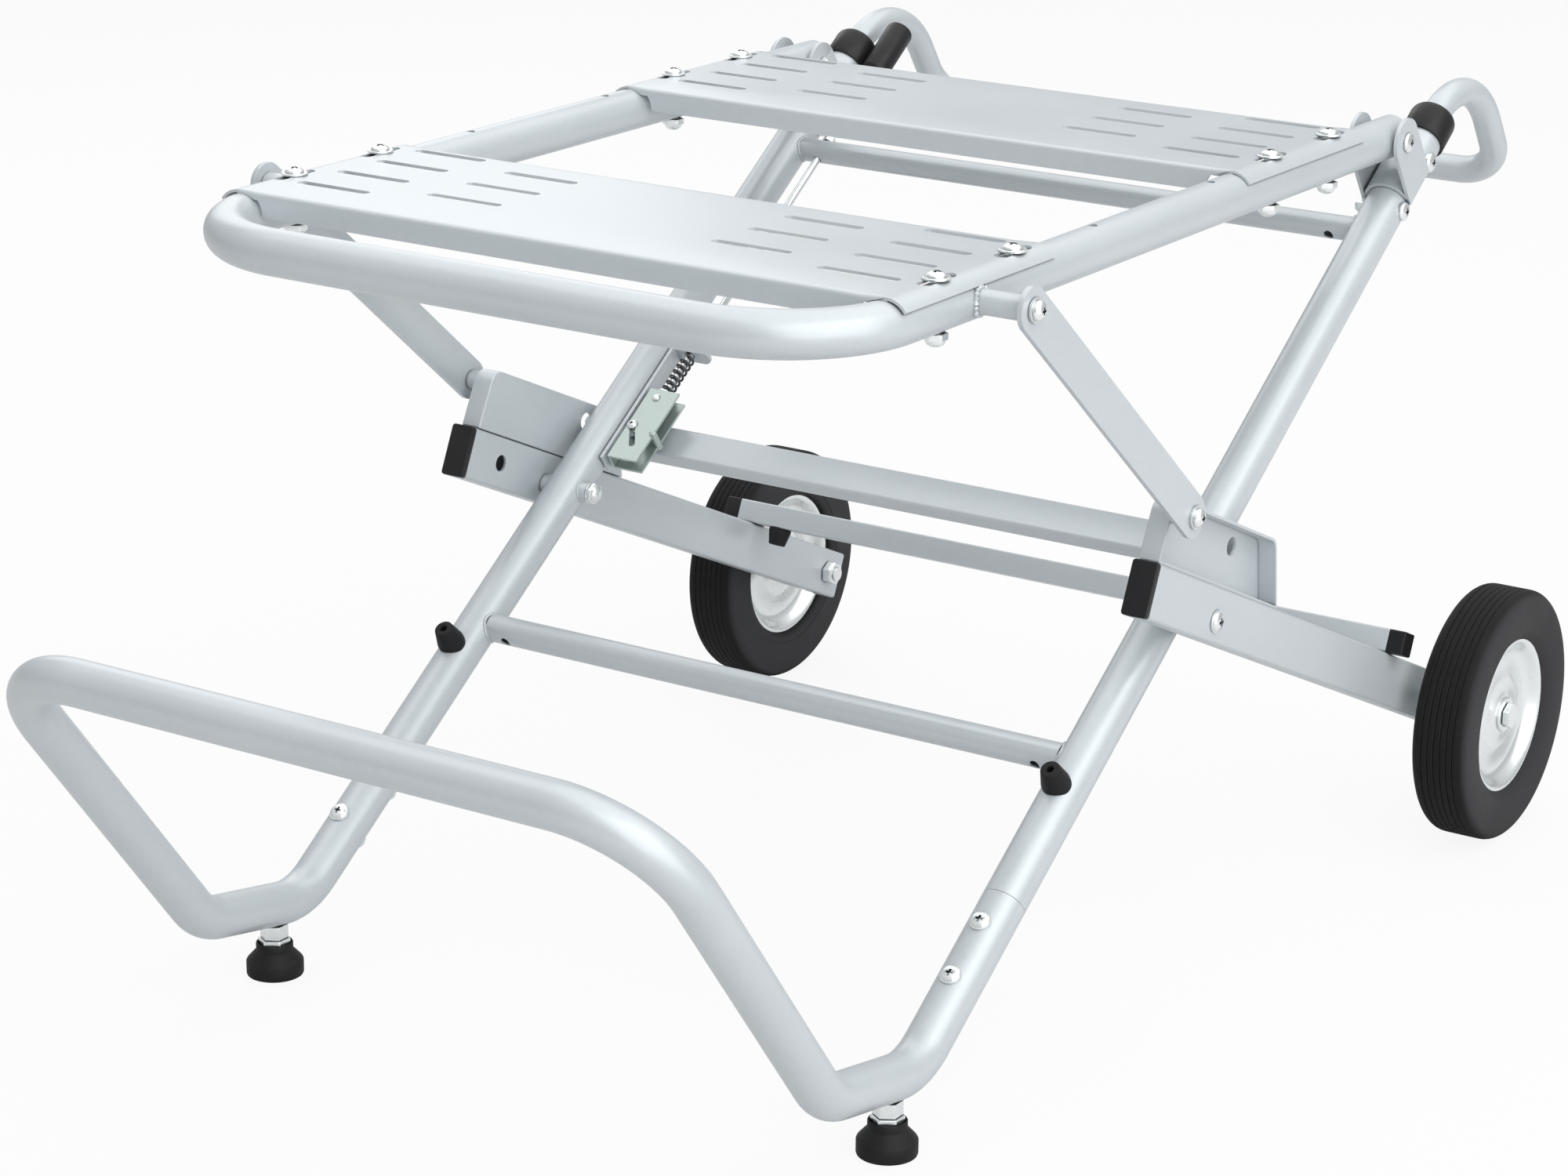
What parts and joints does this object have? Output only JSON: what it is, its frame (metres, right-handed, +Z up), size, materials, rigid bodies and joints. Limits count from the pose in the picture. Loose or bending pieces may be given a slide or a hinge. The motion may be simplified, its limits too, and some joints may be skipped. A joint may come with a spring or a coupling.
{
  "type": "folding saw stand",
  "caption": "Folding wheeled stand for a bench saw: bent tube frame, slotted saw plates, wheeled leg frame, levelling feet, handle and pull-rod latch.",
  "frame": {"origin": "centre of the bounding box at floor level, under the stand's middle plane", "axes": "+X to the right seen from the toe end, +Y towards the handle end, +Z up"},
  "size_m": [0.735, 1.2153, 0.5969],
  "materials": {
    "powder_coat": "satin silver grey powder coat",
    "zinc": "bright zinc plate",
    "yellow_zinc": "yellow zinc plate",
    "spring_steel": "dark oiled spring steel",
    "black_rubber": "matte",
    "black_plastic": "satin moulded",
    "tyre_rubber": "matte with fine ribs"
  },
  "bodies": {
    "main_frame": {"main_tube_left": "powder_coat", "main_tube_right": "powder_coat", "toe_tube": "powder_coat", "lower_crossbar": "powder_coat", "upper_crossbar": "powder_coat", "hinge_bracket_left": "powder_coat", "hinge_bracket_right": "powder_coat", "handle_tube": "powder_coat", "handle_collar_left": "black_plastic", "handle_collar_right": "black_plastic", "table_bumper_left": "black_rubber", "table_bumper_right": "black_rubber", "pivot_bolt_left": "zinc", "pivot_bolt_right": "zinc", "hinge_bolt_left": "zinc", "hinge_bolt_right": "zinc", "latch_guide": "powder_coat", "latch_spring": "spring_steel"},
    "table": {"table_tube": "powder_coat", "front_saw_plate": "powder_coat", "rear_saw_plate": "powder_coat", "front_plate_bolt_left_front": "zinc", "front_plate_bolt_left_rear": "zinc", "front_plate_bolt_right_front": "zinc", "front_plate_bolt_right_rear": "zinc", "rear_plate_bolt_left_front": "zinc", "rear_plate_bolt_left_rear": "zinc", "rear_plate_bolt_right_front": "zinc", "rear_plate_bolt_right_rear": "zinc"},
    "link_left": {"link_left": "powder_coat", "link_bolt_left": "zinc"},
    "link_right": {"link_right": "powder_coat", "link_bolt_right": "zinc"},
    "wheel_frame": {"leg_left": "powder_coat", "leg_right": "powder_coat", "leg_cap_left": "black_plastic", "leg_cap_right": "black_plastic", "side_bracket_left": "powder_coat", "side_bracket_right": "powder_coat", "cross_tube": "powder_coat", "square_bar": "powder_coat", "bar_cap_left": "black_plastic", "bar_cap_right": "black_plastic", "bar_bumper_left": "black_rubber", "bar_bumper_right": "black_rubber", "axle_bolt_left": "zinc", "axle_bolt_right": "zinc"},
    "wheel_left": {"tyre_left": "tyre_rubber", "wheel_disc_left": "zinc"},
    "wheel_right": {"tyre_right": "tyre_rubber", "wheel_disc_right": "zinc"},
    "foot_left": {"foot_pad_left": "black_rubber", "foot_stud_left": "zinc"},
    "foot_right": {"foot_pad_right": "black_rubber", "foot_stud_right": "zinc"},
    "release_rod": {"release_rod": "zinc", "release_grip": "black_plastic", "latch_plate": "yellow_zinc"},
    "lock_pin": {"lock_pin": "zinc", "lock_screw": "zinc"}
  },
  "joints": [
    {"name": "wheel_frame_fold", "type": "hinge", "parent": "main_frame", "child": "wheel_frame", "pos_m": [0, 0.04423, 0.2824], "axis": [1, 0, 0], "range_deg": [-114, 0]},
    {"name": "table_fold", "type": "hinge", "parent": "main_frame", "child": "table", "pos_m": [0, 0.37111, 0.57049], "axis": [1, 0, 0], "range_deg": [0, 35]},
    {"name": "link_left_swing", "type": "hinge", "parent": "table", "child": "link_left", "pos_m": [-0.314, -0.24739, 0.57049], "axis": [1, 0, 0], "range_deg": [0, 20.75]},
    {"name": "link_right_swing", "type": "hinge", "parent": "table", "child": "link_right", "pos_m": [0.314, -0.24739, 0.57049], "axis": [1, 0, 0], "range_deg": [0, 20.75]},
    {"name": "wheel_left_spin", "type": "hinge", "parent": "wheel_frame", "child": "wheel_left", "pos_m": [-0.3062, 0.45841, 0.1016], "axis": [1, 0, 0], "continuous": true},
    {"name": "wheel_right_spin", "type": "hinge", "parent": "wheel_frame", "child": "wheel_right", "pos_m": [0.3062, 0.45841, 0.1016], "axis": [1, 0, 0], "continuous": true},
    {"name": "foot_left_level", "type": "slide", "parent": "main_frame", "child": "foot_left", "axis": [0, 0, -1], "range_m": [0, 0.012]},
    {"name": "foot_right_level", "type": "slide", "parent": "main_frame", "child": "foot_right", "axis": [0, 0, -1], "range_m": [0, 0.012]},
    {"name": "release_pull", "type": "slide", "parent": "main_frame", "child": "release_rod", "axis": [0, 0.8192, 0.5736], "range_m": [0, 0.018], "stiffness_N_per_m": 900, "springref_m": -0.008, "deforming": ["latch_spring"]},
    {"name": "lock_pin_draw", "type": "slide", "parent": "main_frame", "child": "lock_pin", "axis": [1, 0, 0], "range_m": [0, 0.0098]}
  ],
  "couplings": [
    {"joint": "table_fold", "follows": "wheel_frame_fold", "ratio": -0.307},
    {"joint": "link_left_swing", "follows": "wheel_frame_fold", "ratio": -0.1816},
    {"joint": "link_right_swing", "follows": "wheel_frame_fold", "ratio": -0.1816},
    {"joint": "lock_pin_draw", "follows": "release_pull", "ratio": 0.5435}
  ]
}
